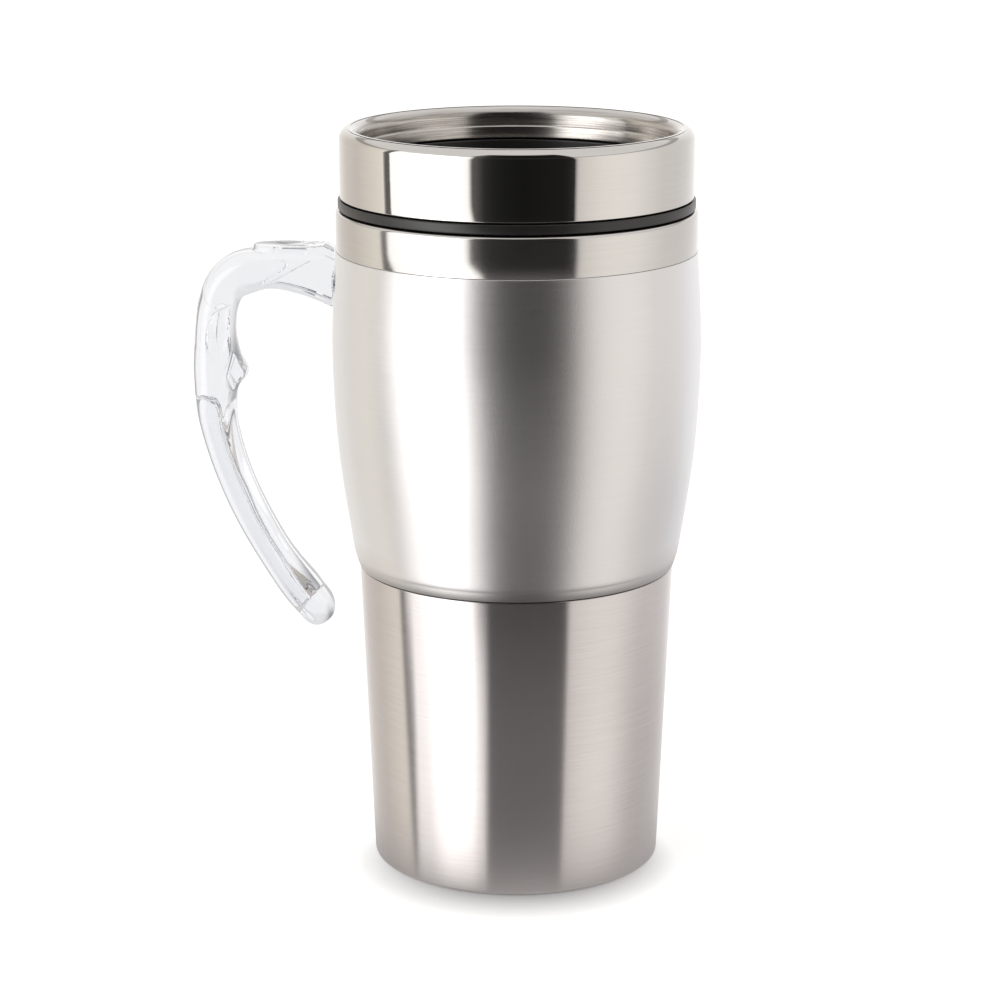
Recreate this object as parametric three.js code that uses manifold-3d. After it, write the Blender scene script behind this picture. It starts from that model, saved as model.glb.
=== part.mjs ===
// Insulated travel mug: double-wall steel body, clear handle, press-on lid with a sliding shutter.
// Millimetres, +Z up. Origin: centre of the flat underside. The handle reaches out along -X.
import * as THREE from "three";
import { mergeVertices } from "three/addons/utils/BufferGeometryUtils.js";
import Module from "manifold-3d";

const wasm = await Module();
wasm.setup();

// ---- driving dimensions ----
const GAP = 0.3; // clearance between separate pieces
const SHEET = 0.6; // steel sheet of the shells and the liner
const TURN = 40; // facets round a visible turned piece
const TURN_HIDDEN = 32; // facets round a hidden turned piece

const STEEL_FOOT_Z = 0.1; // lowest edge of the steel, just clear of the table
const CREASE_Z = 71.8; // joint between cone and barrel
const COLLAR_Z = 146.6; // bottom edge of the collar
const RIM_Z = 156.0; // top of the collar and of the liner's lip
const BAND_TOP_Z = 158.6; // top of the lid's black flange band
const LID_TOP_Z = 174.9; // crest of the lid's steel ring

const FOOT_R = 34.0; // cone at the table
const CONE_TOP_R = 37.03; // cone just under the crease
const SPIGOT_R = 36.2; // cone's spigot inside the barrel
const COLLAR_R = 41.9;
const BAND_R = 41.3; // black flange band
const LID_R = 40.9; // steel lid ring
const MOUTH_R = 37.8; // inside of the liner where the lid plugs in
const PLUG_R = 36.9; // lid's plug skirt
const RECESS_R = 35.0; // recess in the lid
const RECESS_FLOOR_Z = 161.6;

// outside of the barrel, from the crease to the collar: [radius, height]
const BARREL = [
  [37.15, CREASE_Z],
  [37.85, 73.8],
  [38.8, 78.3],
  [41.85, 100],
  [43.0, 124],
  [41.95, COLLAR_Z - GAP],
];

const HANDLE_WIDTH = 14.8;
const HANDLE_TOP_Z = 146.6;
const THUMB_REST = { size: [17.6, 10.4, 1.6], middle: [-51.5, 0, 147.0] }; // pad on the arm
const SCREW_Y = 3.8; // the two handle screws stand side by side
const SCREW_Z = 139.5;
const SCREW_R = 1.5;
const SCREW_HOLE_R = SCREW_R + GAP;
const SCREW_TIP_X = -42.4;
const SCREW_HEAD_R = 2.9;
const BOSS_R = 2.8; // two bosses on the handle reach through the barrel wall round the screws
const BOSS_HOLE_R = BOSS_R + GAP;
const BOSS_END_X = -40.05;

const DRINK_HOLE = { y: -25.5, width: 13, length: 7 };
const VENT = { y: 24, r: 1.3 };
const TUBE_WALL = 1.5; // wall round the drink hole and the vent, down through the lid
const SLIDER = { halfWidth: 10, outerY: -33, innerY: -9, top: 165.0, under: 163.2 };

// ---- materials ----
const finish = (color, roughness, metalness, extra = {}) =>
  new THREE.MeshStandardMaterial({ color, roughness, metalness, ...extra });
const brushedSteel = () => finish(0xb9b5b0, 0.38, 1);
const satinSteel = () => finish(0xc4c4c6, 0.5, 1);
const polishedSteel = () => finish(0xcfcac4, 0.12, 1);
const innerSteel = () => finish(0xb4b4b4, 0.35, 1);
const clearPlastic = () => finish(0xf2f5f8, 0.05, 0, { transparent: true, opacity: 0.35 });
const blackPlastic = () => finish(0x1b1a1a, 0.4, 0);
const blackRubber = () => finish(0x161616, 0.8, 0);
const silicone = () => finish(0x2a2a2a, 0.6, 0);
const foam = () => finish(0xdcdcdc, 0.95, 0);

// ---- helpers ----
// Corners [radius, height, fillet] of a turned profile become points, with an arc at each fillet.
function rounded(corners, steps = 2) {
  const count = corners.length;
  return corners.flatMap(([r, z, fillet], i) => {
    const corner = new THREE.Vector2(r, z);
    if (!fillet) return [corner];
    const [before, after] = [corners[(i + count - 1) % count], corners[(i + 1) % count]].map(
      ([nr, nz]) => new THREE.Vector2(nr, nz).sub(corner).normalize(),
    );
    const half = before.angleTo(after) / 2;
    const reach = fillet / Math.tan(half);
    const start = before.clone().multiplyScalar(reach).add(corner);
    const end = after.clone().multiplyScalar(reach).add(corner);
    return new THREE.QuadraticBezierCurve(start, corner, end).getPoints(steps);
  });
}

// Turns a profile round the Z axis. The profile runs anticlockwise seen with the radius to the
// right and the height up.
function turned(profile, facets = TURN) {
  const onAxis = profile[0].x === 0;
  const closed = onAxis ? profile : [...profile, profile[0].clone()];
  return new THREE.LatheGeometry(closed, facets).rotateX(Math.PI / 2);
}

function solid(geometry) {
  const bare = geometry.index ? geometry.toNonIndexed() : geometry.clone();
  for (const name of Object.keys(bare.attributes)) {
    if (name !== "position") bare.deleteAttribute(name);
  }
  const merged = mergeVertices(bare, 1e-4);
  return new wasm.Manifold(
    new wasm.Mesh({
      numProp: 3,
      vertProperties: merged.attributes.position.array,
      triVerts: new Uint32Array(merged.index.array),
    }),
  );
}

function geometryOf(manifold) {
  const mesh = manifold.getMesh();
  const geometry = new THREE.BufferGeometry();
  geometry.setAttribute("position", new THREE.BufferAttribute(mesh.vertProperties, 3));
  geometry.setIndex(new THREE.BufferAttribute(mesh.triVerts, 1));
  geometry.computeVertexNormals();
  return geometry;
}

// joins the first list and cuts away the second
function carved(added, removed = []) {
  const body = added.map(solid).reduce((a, b) => a.add(b));
  return geometryOf(removed.map(solid).reduce((a, b) => a.subtract(b), body));
}

const piece = (name, geometry, material) => {
  const mesh = new THREE.Mesh(geometry, material);
  mesh.name = name;
  return mesh;
};

// a box given by its low and high corners
function block(x0, x1, y0, y1, z0, z1) {
  return new THREE.BoxGeometry(x1 - x0, y1 - y0, z1 - z0).translate(
    (x0 + x1) / 2,
    (y0 + y1) / 2,
    (z0 + z1) / 2,
  );
}

// a cylinder along X
function rodX(r, x0, x1, y, z, facets = 16) {
  return new THREE.CylinderGeometry(r, r, x1 - x0, facets)
    .rotateZ(Math.PI / 2)
    .translate((x0 + x1) / 2, y, z);
}

// a vertical post with a long rounded section, width along X and length along Y
function slotPost(width, length, y, z0, z1) {
  const r = length / 2;
  const straight = width / 2 - r;
  const shape = new THREE.Shape();
  shape.absarc(straight, 0, r, -Math.PI / 2, Math.PI / 2);
  shape.absarc(-straight, 0, r, Math.PI / 2, (3 * Math.PI) / 2);
  return new THREE.ExtrudeGeometry(shape, {
    depth: z1 - z0,
    bevelEnabled: false,
    curveSegments: 8,
  }).translate(0, y, z0);
}

const barrelCurve = new THREE.SplineCurve(BARREL.map(([r, z]) => new THREE.Vector2(r, z)));
const BARREL_STEPS = 10;
const barrelPoints = (offset) =>
  barrelCurve.getPoints(BARREL_STEPS).map((p) => new THREE.Vector2(p.x + offset, p.y));

// ---- mug body ----
function baseShell() {
  const inside = FOOT_R - SHEET;
  return turned(
    rounded([
      [32.0, STEEL_FOOT_Z],
      [FOOT_R, STEEL_FOOT_Z, 0.5],
      [CONE_TOP_R, CREASE_Z - GAP],
      [SPIGOT_R, CREASE_Z - GAP],
      [SPIGOT_R, 80],
      [SPIGOT_R - SHEET, 80],
      [SPIGOT_R - SHEET, CREASE_Z - GAP - SHEET],
      [CONE_TOP_R - SHEET - 0.05, CREASE_Z - GAP - SHEET],
      [inside, STEEL_FOOT_Z + SHEET],
      [32.0, STEEL_FOOT_Z + SHEET],
    ]),
  );
}

function barrelShell() {
  const profile = [...barrelPoints(0), ...barrelPoints(-SHEET).reverse()];
  const holes = [-SCREW_Y, SCREW_Y].map((y) => rodX(BOSS_HOLE_R, -50, -30, y, SCREW_Z, 20));
  return carved([turned(profile)], holes);
}

function jointSeal() {
  return turned(
    rounded([
      [36.5, 76],
      [37.05, 76],
      [37.05, 79.6],
      [36.5, 79.6],
    ]),
    TURN_HIDDEN,
  );
}

function collarRing() {
  const skirt = 40.85;
  const wall = COLLAR_R - SHEET;
  return turned(
    rounded([
      [skirt - SHEET, 144.8],
      [skirt, 144.8],
      [skirt, COLLAR_Z],
      [COLLAR_R, COLLAR_Z, 0.3],
      [COLLAR_R, RIM_Z, 0.8],
      [39.2, RIM_Z],
      [39.2, RIM_Z - SHEET],
      [wall, RIM_Z - SHEET],
      [wall, COLLAR_Z + SHEET],
      [skirt - SHEET, COLLAR_Z + SHEET],
    ]),
  );
}

function rimSpacer() {
  return turned(
    rounded([
      [38.95, 148.5],
      [40.7, 148.5],
      [40.7, RIM_Z - SHEET - GAP],
      [38.95, RIM_Z - SHEET - GAP],
    ]),
    TURN_HIDDEN,
  );
}

function linerCup() {
  const bottom = 5.9;
  const outside = [
    [0, bottom],
    [29.8, bottom, 5],
    [33.6, 71],
    [36.2, 112],
    [36.2, 143.4],
    [MOUTH_R + SHEET, 147.3],
    [MOUTH_R + SHEET, RIM_Z - SHEET],
    [38.9, RIM_Z - SHEET],
    [38.9, RIM_Z, 0.3],
  ];
  const inside = [
    [MOUTH_R, RIM_Z, 0.4],
    [MOUTH_R, 147.6],
    [36.2 - SHEET, 143.7],
    [36.2 - SHEET, 112],
    [33.6 - SHEET, 71],
    [29.8 - SHEET, bottom + SHEET, 4.4],
    [0, bottom + SHEET],
  ];
  return turned(rounded([...outside, ...inside]));
}

function linerPad() {
  return turned(
    rounded([
      [0, 2.6],
      [20, 2.6],
      [20, 5.6],
      [0, 5.6],
    ]),
    TURN_HIDDEN,
  );
}

function baseDisc() {
  return turned(
    rounded([
      [0, 1.5],
      [32.7, 1.5, 0.5],
      [32.7, 8],
      [31.9, 8],
      [31.9, 2.3],
      [0, 2.3],
    ]),
    TURN_HIDDEN,
  );
}

function basePad() {
  return turned(
    rounded([
      [0, 0],
      [31.2, 0, 0.4],
      [31.2, 1.2],
      [0, 1.2],
    ]),
  );
}

// ---- handle ----
const HANDLE_OUTSIDE = [
  [-36, HANDLE_TOP_Z],
  [-57, HANDLE_TOP_Z],
  [-65.3, 145.6],
  [-71, 141.5],
  [-74.0, 134.5],
  [-75.2, 124],
  [-75.4, 115],
  [-74.2, 105.8],
  [-70.8, 94],
  [-65.5, 81.5],
  [-57.0, 66.7],
  [-51.6, 59.6],
];
const HANDLE_TIP = [
  [-48.4, 56.9],
  [-44.4, 56.9],
  [-42.9, 60.6],
];
const HANDLE_INSIDE_LOW = [
  [-46.7, 66.9],
  [-54.2, 76.6],
  [-61.5, 91.2],
  [-65.1, 103.4],
  [-65.5, 111],
  [-64.7, 114.6],
];
const FINGER_BUMP = [
  [-63.1, 116.6],
  [-62.6, 118.2],
  [-63.6, 120.2],
];
const HANDLE_INSIDE_HIGH = [
  [-64.8, 123.2],
  [-65.4, 128],
  [-64.6, 133.2],
  [-62.2, 136.2],
  [-57.0, 137.9],
  [-50, 136.6],
  [-43, 133.8],
  [-36, 131.0],
];

function handleShape() {
  const smooth = [
    ...HANDLE_OUTSIDE.slice(1),
    ...HANDLE_TIP,
    ...HANDLE_INSIDE_LOW,
    ...FINGER_BUMP,
    ...HANDLE_INSIDE_HIGH,
  ].map(([x, z]) => new THREE.Vector2(x, z));
  const shape = new THREE.Shape();
  shape.moveTo(...HANDLE_OUTSIDE[0]);
  shape.lineTo(...HANDLE_OUTSIDE[1]);
  shape.splineThru(smooth.slice(1));
  shape.closePath();
  return shape;
}

function handle() {
  const edge = 1.3; // rounding of the long edges
  const bar = new THREE.ExtrudeGeometry(handleShape(), {
    depth: HANDLE_WIDTH - 2 * edge,
    bevelThickness: edge,
    bevelSize: edge,
    bevelOffset: -edge,
    bevelSegments: 2,
    curveSegments: 2,
  })
    .rotateX(Math.PI / 2)
    .translate(0, HANDLE_WIDTH / 2 - edge, 0);
  const saddle = turned([
    new THREE.Vector2(0, CREASE_Z),
    ...barrelPoints(GAP),
    new THREE.Vector2(BARREL.at(-1)[0] + GAP, 150),
    new THREE.Vector2(0, 150),
  ]);
  const sides = [-SCREW_Y, SCREW_Y];
  const bosses = sides.map((y) => rodX(BOSS_R, -44, BOSS_END_X, y, SCREW_Z, 20));
  const bores = sides.map((y) => rodX(SCREW_HOLE_R, SCREW_TIP_X - GAP, -30, y, SCREW_Z));
  const pad = new THREE.BoxGeometry(...THUMB_REST.size).translate(...THUMB_REST.middle);
  return carved([carved([bar], [saddle]), pad, ...bosses], bores);
}

// curved plate inside the barrel wall, concentric with the mug
function backingPlate() {
  const [inner, outer, spread] = [39.15, 39.75, 0.27];
  const [low, high] = [134, 144.4];
  const shape = new THREE.Shape();
  shape.absarc(0, 0, outer, Math.PI - spread, Math.PI + spread, false);
  shape.absarc(0, 0, inner, Math.PI + spread, Math.PI - spread, true);
  const plate = new THREE.ExtrudeGeometry(shape, {
    depth: high - low,
    bevelEnabled: false,
    curveSegments: 8,
  }).translate(0, 0, low);
  const holes = [-SCREW_Y, SCREW_Y].map((y) => rodX(SCREW_HOLE_R, -50, -30, y, SCREW_Z));
  return carved([plate], holes);
}

const WASHER = { x0: -38.15, x1: -37.75, r: 3.5 };

function handleWasher(y) {
  return carved(
    [rodX(WASHER.r, WASHER.x0, WASHER.x1, y, SCREW_Z, 20)],
    [rodX(SCREW_HOLE_R, -50, -30, y, SCREW_Z, 20)],
  );
}

// flat-head screw, its head inside the wall and its tip in one of the handle's bosses
function handleScrew(y) {
  const headFoot = WASHER.x1 + GAP;
  const headTop = headFoot + 0.9;
  return carved(
    [
      rodX(SCREW_R, SCREW_TIP_X, headFoot + 0.5, y, SCREW_Z, 16),
      rodX(SCREW_HEAD_R, headFoot, headTop, y, SCREW_Z, 20),
    ],
    [block(headTop - 0.5, headTop + 0.5, y - 0.5, y + 0.5, SCREW_Z - 2, SCREW_Z + 2)],
  );
}

// ---- lid ----
function lidSteelRing() {
  const foot = BAND_TOP_Z + GAP;
  const mouth = 36.3; // inside of the rolled lip
  const step = 170.2; // small step half way down the sloping inner wall
  return turned(
    rounded(
      [
        [LID_R - SHEET, foot],
        [LID_R, foot, 0.2],
        [LID_R, LID_TOP_Z, 3.0],
        [mouth, LID_TOP_Z, 1.5],
        [mouth - 0.45, step + 0.25],
        [mouth - 0.75, step],
        [mouth - 1.2, 167.5],
        [mouth - 0.6, 167.5],
        [mouth - 0.15, step],
        [mouth + 0.15, step + 0.3],
        [mouth + SHEET, LID_TOP_Z - SHEET, 0.9],
        [LID_R - SHEET, LID_TOP_Z - SHEET, 2.3],
      ],
      3,
    ),
  );
}

function lidBodyProfile() {
  const skirtInside = 34.1;
  const floorUnder = 160.0;
  return rounded([
    [0, floorUnder],
    [skirtInside, floorUnder],
    [skirtInside, 148],
    [PLUG_R, 148, 0.6],
    [PLUG_R, 150.2],
    [35.6, 150.2],
    [35.6, 153.8],
    [PLUG_R, 153.8],
    [PLUG_R, RIM_Z + GAP],
    [BAND_R, RIM_Z + GAP, 0.4],
    [BAND_R, BAND_TOP_Z, 0.3],
    [39.9, BAND_TOP_Z],
    [39.9, 167.2],
    [RECESS_R, 167.2, 0.3],
    [RECESS_R, RECESS_FLOOR_Z, 0.6],
    [0, RECESS_FLOOR_Z],
  ]);
}

// one of the two rails that hold the slider down, side = -1 or +1
function sliderRail(side) {
  const [foot, top] = [RECESS_FLOOR_Z - 0.5, SLIDER.top + GAP + 0.9];
  const shape = new THREE.Shape(
    [
      [SLIDER.halfWidth + 0.35, foot],
      [12.0, foot],
      [12.0, top],
      [9.1, top],
      [9.1, SLIDER.top + GAP],
      [SLIDER.halfWidth + 0.35, SLIDER.top + GAP],
    ].map(([x, z]) => new THREE.Vector2(x * side, z)),
  );
  const length = 35.5;
  return new THREE.ExtrudeGeometry(shape, { depth: length, bevelEnabled: false })
    .rotateX(Math.PI / 2)
    .translate(0, SLIDER.outerY + 1 + length, 0);
}

function lidBody() {
  const tubeFoot = 147.6;
  const stopY = 4.2; // bar that ends the slider's travel
  const { y, width, length } = DRINK_HOLE;
  return carved(
    [
      turned(lidBodyProfile()),
      sliderRail(1),
      sliderRail(-1),
      block(-12, 12, stopY, stopY + 1.5, RECESS_FLOOR_Z - 0.5, 164),
      slotPost(width + 2 * TUBE_WALL, length + 2 * TUBE_WALL, y, tubeFoot, RECESS_FLOOR_Z - 0.5),
      slotPost(
        2 * (VENT.r + TUBE_WALL) + 0.01,
        2 * (VENT.r + TUBE_WALL),
        VENT.y,
        tubeFoot,
        RECESS_FLOOR_Z - 0.5,
      ),
    ],
    [
      slotPost(width, length, y, tubeFoot - 2, 165),
      slotPost(2 * VENT.r + 0.01, 2 * VENT.r, VENT.y, tubeFoot - 2, 165),
    ],
  );
}

function lidUnderPlate() {
  const [low, high] = [148, 149.4];
  const edge = 33.8;
  const room = 2 * (TUBE_WALL + GAP);
  const disc = turned(
    rounded([
      [0, low],
      [edge, low],
      [edge, 152],
      [edge - 1.2, 152],
      [edge - 1.2, high],
      [0, high],
    ]),
    TURN_HIDDEN,
  );
  return carved(
    [disc],
    [
      slotPost(
        DRINK_HOLE.width + room,
        DRINK_HOLE.length + room,
        DRINK_HOLE.y,
        low - 2,
        high + 2,
      ),
      slotPost(2 * VENT.r + room + 0.01, 2 * VENT.r + room, VENT.y, low - 2, high + 2),
    ],
  );
}

function lidGasket() {
  const lip = 37.5;
  return turned(
    rounded([
      [35.9, 150.5],
      [36.6, 150.5],
      [lip, 151.1],
      [lip, 151.5],
      [36.6, 152.0],
      [lip, 152.7],
      [lip, 153.1],
      [36.6, 153.5],
      [35.9, 153.5],
    ]),
  );
}

// ---- slider ----
function sliderPlate() {
  const { halfWidth, outerY, innerY, top, under } = SLIDER;
  const runner = 1.7; // width of the two runners that ride on the recess floor
  const foot = RECESS_FLOOR_Z + GAP;
  const tab = new THREE.Shape([
    new THREE.Vector2(innerY - 6, top - 0.5),
    new THREE.Vector2(innerY - 0.5, top - 0.5),
    new THREE.Vector2(innerY - 1.5, top + 3.2),
    new THREE.Vector2(innerY - 3, top + 3.2),
  ]);
  const tabWidth = 14;
  const thumbTab = new THREE.ExtrudeGeometry(tab, { depth: tabWidth, bevelEnabled: false })
    .rotateX(Math.PI / 2)
    .rotateZ(Math.PI / 2)
    .translate(-tabWidth / 2, 0, 0);
  return carved([
    block(-halfWidth, halfWidth, outerY, innerY, under, top),
    block(-halfWidth, -halfWidth + runner, outerY, innerY, foot, under + 0.5),
    block(halfWidth - runner, halfWidth, outerY, innerY, foot, under + 0.5),
    thumbTab,
  ]);
}

function sliderSeal() {
  return slotPost(15.6, 11.4, DRINK_HOLE.y, RECESS_FLOOR_Z + GAP, SLIDER.under - GAP);
}

// ---- assembly ----
const mug = new THREE.Group();
mug.add(
  piece("base_shell", baseShell(), brushedSteel()),
  piece("barrel_shell", barrelShell(), satinSteel()),
  piece("joint_seal", jointSeal(), silicone()),
  piece("collar_ring", collarRing(), polishedSteel()),
  piece("rim_spacer", rimSpacer(), blackPlastic()),
  piece("liner_cup", linerCup(), innerSteel()),
  piece("liner_pad", linerPad(), foam()),
  piece("base_disc", baseDisc(), brushedSteel()),
  piece("base_pad", basePad(), blackRubber()),
  piece("handle", handle(), clearPlastic()),
  piece("handle_backing_plate", backingPlate(), innerSteel()),
);
for (const [end, y] of Object.entries({ front: -SCREW_Y, rear: SCREW_Y })) {
  mug.add(piece(`handle_washer_${end}`, handleWasher(y), innerSteel()));
  mug.add(piece(`handle_screw_${end}`, handleScrew(y), innerSteel()));
}

const slider = new THREE.Group();
slider.add(
  piece("slider_plate", sliderPlate(), blackPlastic()),
  piece("slider_seal", sliderSeal(), silicone()),
);

const lid = new THREE.Group();
lid.add(
  piece("lid_steel_ring", lidSteelRing(), polishedSteel()),
  piece("lid_body", lidBody(), blackPlastic()),
  piece("lid_under_plate", lidUnderPlate(), blackPlastic()),
  piece("lid_gasket", lidGasket(), silicone()),
  slider,
);

const travelMug = new THREE.Group();
travelMug.add(mug, lid);
export default travelMug;
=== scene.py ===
"""Insulated travel mug: fine meshes, materials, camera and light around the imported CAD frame."""

import math

import bmesh
import bpy
import numpy as np
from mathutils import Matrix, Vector


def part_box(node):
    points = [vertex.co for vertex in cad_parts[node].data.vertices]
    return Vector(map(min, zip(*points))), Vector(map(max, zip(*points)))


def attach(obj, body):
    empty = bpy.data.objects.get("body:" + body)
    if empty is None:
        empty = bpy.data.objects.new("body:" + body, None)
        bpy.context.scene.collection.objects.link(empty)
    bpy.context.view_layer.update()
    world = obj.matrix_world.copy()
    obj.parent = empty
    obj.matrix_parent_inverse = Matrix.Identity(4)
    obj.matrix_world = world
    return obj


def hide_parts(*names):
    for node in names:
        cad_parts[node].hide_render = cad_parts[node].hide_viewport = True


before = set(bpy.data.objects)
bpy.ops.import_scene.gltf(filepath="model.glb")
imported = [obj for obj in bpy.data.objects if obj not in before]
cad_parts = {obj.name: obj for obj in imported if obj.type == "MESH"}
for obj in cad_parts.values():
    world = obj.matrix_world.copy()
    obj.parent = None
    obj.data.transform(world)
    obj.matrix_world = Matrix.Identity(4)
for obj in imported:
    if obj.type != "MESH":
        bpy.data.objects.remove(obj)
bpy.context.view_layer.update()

MM = 0.001
SIDES = 192  # facets round a turned piece
SHEET = 0.6  # steel sheet, in millimetres as all lengths below
GAP = 0.3  # clearance between separate pieces


def box_mm(node):
    """Lowest and highest corner of a CAD node, in millimetres."""
    low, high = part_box(node)
    return low / MM, high / MM


# ---- places taken from the frame, in millimetres ----
CREASE_Z = box_mm("barrel_shell")[0].z
BARREL_TOP_Z = box_mm("barrel_shell")[1].z
BARREL_R = box_mm("barrel_shell")[1].x
COLLAR_R = box_mm("collar_ring")[1].x
COLLAR_Z = BARREL_TOP_Z + GAP
RIM_Z = box_mm("collar_ring")[1].z
SPIGOT_TOP_Z = box_mm("base_shell")[1].z
CONE_TOP_R = box_mm("base_shell")[1].x
STEEL_FOOT_Z = box_mm("base_shell")[0].z
BAND_R = box_mm("lid_body")[1].x
LID_R = box_mm("lid_steel_ring")[1].x
LID_TOP_Z = box_mm("lid_steel_ring")[1].z
BAND_TOP_Z = box_mm("lid_steel_ring")[0].z - GAP
FLOOR_Z = box_mm("slider_seal")[0].z - GAP  # floor of the lid's recess
HANDLE_HALF_WIDTH = box_mm("handle")[1].y


# ---- mesh helpers ----
def arc_corners(corners, steps=6):
    """Profile corners (r, z) or (r, z, fillet) become points, with a circular arc at each fillet."""
    out = []
    for i, corner in enumerate(corners):
        here = np.array(corner[:2], float)
        if len(corner) < 3:
            out.append(here)
            continue
        before = np.array(corners[i - 1][:2], float) - here
        after = np.array(corners[(i + 1) % len(corners)][:2], float) - here
        before /= np.linalg.norm(before)
        after /= np.linalg.norm(after)
        half = math.acos(np.clip(before @ after, -1, 1)) / 2
        middle = (before + after) / np.linalg.norm(before + after)
        centre = here + middle * corner[2] / math.sin(half)
        start = here + before * corner[2] / math.tan(half) - centre
        end = here + after * corner[2] / math.tan(half) - centre
        sweep = math.atan2(start[0] * end[1] - start[1] * end[0], start @ end)
        for t in np.linspace(0, sweep, steps + 1):
            turn = np.array([[math.cos(t), -math.sin(t)], [math.sin(t), math.cos(t)]])
            out.append(centre + turn @ start)
    return out


def catmull_rom(points, count):
    """Points along the uniform Catmull-Rom spline through a list of points."""
    p = np.array(points, float)
    padded = np.vstack([p[:1], p, p[-1:]])
    out = []
    for t in np.linspace(0, len(p) - 1, count):
        i = min(int(t), len(p) - 2)
        w = t - i
        a, b, c, d = padded[i : i + 4]
        square = 2 * a - 5 * b + 4 * c - d
        cube = 3 * b - a - 3 * c + d
        out.append(0.5 * (2 * b + (c - a) * w + square * w**2 + cube * w**3))
    return np.array(out)


def new_object(name, mesh):
    thing = bpy.data.objects.new(name, mesh)
    bpy.context.scene.collection.objects.link(thing)
    return thing


def smooth(mesh, angle=35):
    """Smooth shading, kept sharp where faces meet at more than the angle."""
    for polygon in mesh.polygons:
        polygon.use_smooth = True
    mesh.set_sharp_from_angle(angle=math.radians(angle))


def mesh_object(name, vertices_mm, faces, angle=35):
    """An object from vertices in millimetres, its faces turned outwards."""
    mesh = bpy.data.meshes.new(name)
    mesh.from_pydata([tuple(Vector(v) * MM) for v in vertices_mm], [], faces)
    bm = bmesh.new()
    bm.from_mesh(mesh)
    bmesh.ops.remove_doubles(bm, verts=bm.verts, dist=2e-7)
    bmesh.ops.dissolve_degenerate(bm, dist=2e-7, edges=bm.edges)
    bmesh.ops.recalc_face_normals(bm, faces=bm.faces)
    bm.to_mesh(mesh)
    bm.free()
    smooth(mesh, angle)
    return new_object(name, mesh)


def lathe(name, profile, sides=SIDES, angle=35):
    """A piece turned round Z. The profile closes on itself, or starts and ends on the axis."""
    on_axis = profile[0][0] < 1e-6
    vertices, rings = [], []
    for r, z in profile:
        if r < 1e-6:
            rings.append([len(vertices)] * sides)
            vertices.append((0, 0, z))
            continue
        rings.append(list(range(len(vertices), len(vertices) + sides)))
        for k in range(sides):
            turn = 2 * math.pi * k / sides
            vertices.append((r * math.cos(turn), r * math.sin(turn), z))
    faces = []
    pairs = list(zip(rings, rings[1:]))
    if not on_axis:
        pairs.append((rings[-1], rings[0]))
    for low, high in pairs:
        for k in range(sides):
            corners = (low[k], low[(k + 1) % sides], high[(k + 1) % sides], high[k])
            face = tuple(dict.fromkeys(corners))
            if len(face) > 2:
                faces.append(face)
    return mesh_object(name, vertices, faces, angle)


def slab(name, outline, z0, z1, bevel=0.3, steps=3):
    """An outline in X and Y raised from z0 to z1, with rounded rims."""
    count = len(outline)
    vertices = [(x, y, z0) for x, y in outline] + [(x, y, z1) for x, y in outline]
    faces = [tuple(range(count))[::-1], tuple(range(count, 2 * count))]
    faces += [(k, (k + 1) % count, count + (k + 1) % count, count + k) for k in range(count)]
    thing = mesh_object(name, vertices, faces)
    if bevel:
        bm = bmesh.new()
        bm.from_mesh(thing.data)
        rims = [e for e in bm.edges if abs(e.verts[0].co.z - e.verts[1].co.z) < 1e-7]
        bmesh.ops.bevel(bm, geom=rims, offset=bevel * MM, segments=steps, profile=0.5, affect="EDGES")
        bm.to_mesh(thing.data)
        bm.free()
        smooth(thing.data)
    return thing


def rounded_rectangle(x0, x1, y0, y1, r, steps=6):
    """Outline with corners of radius r, as a list of points."""
    points = []
    corners = ((x1 - r, y1 - r, 0), (x0 + r, y1 - r, 90), (x0 + r, y0 + r, 180), (x1 - r, y0 + r, 270))
    for cx, cy, start in corners:
        for t in np.linspace(start, start + 90, steps + 1):
            turn = math.radians(t)
            points.append((cx + r * math.cos(turn), cy + r * math.sin(turn)))
    return points


def boolean(target, tools, operation):
    """Joins tools to target or cuts them from it, and removes the tools."""
    for tool in tools:
        modifier = target.modifiers.new("boolean", "BOOLEAN")
        modifier.operation = operation
        modifier.solver = "EXACT"
        modifier.object = tool
        depsgraph = bpy.context.evaluated_depsgraph_get()
        mesh = bpy.data.meshes.new_from_object(target.evaluated_get(depsgraph))
        target.modifiers.clear()
        target.data = mesh
        bpy.data.objects.remove(tool)
    smooth(target.data)
    return target


def turn_to_x(thing, y, z):
    """Lays a piece that was turned round Z along X, through the given y and z."""
    for v in thing.data.vertices:
        x0, y0, z0 = v.co
        v.co = (z0, x0 + y * MM, y0 + z * MM)
    return thing


def place(thing, body, slot, node, material=None):
    """Gives a piece its material, its slot's own unless another is named, hangs it on its body and
    hides its CAD node.
    """
    thing.data.materials.clear()
    thing.data.materials.append(MATERIALS[material or slot])
    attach(thing, body)
    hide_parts(node)


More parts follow.
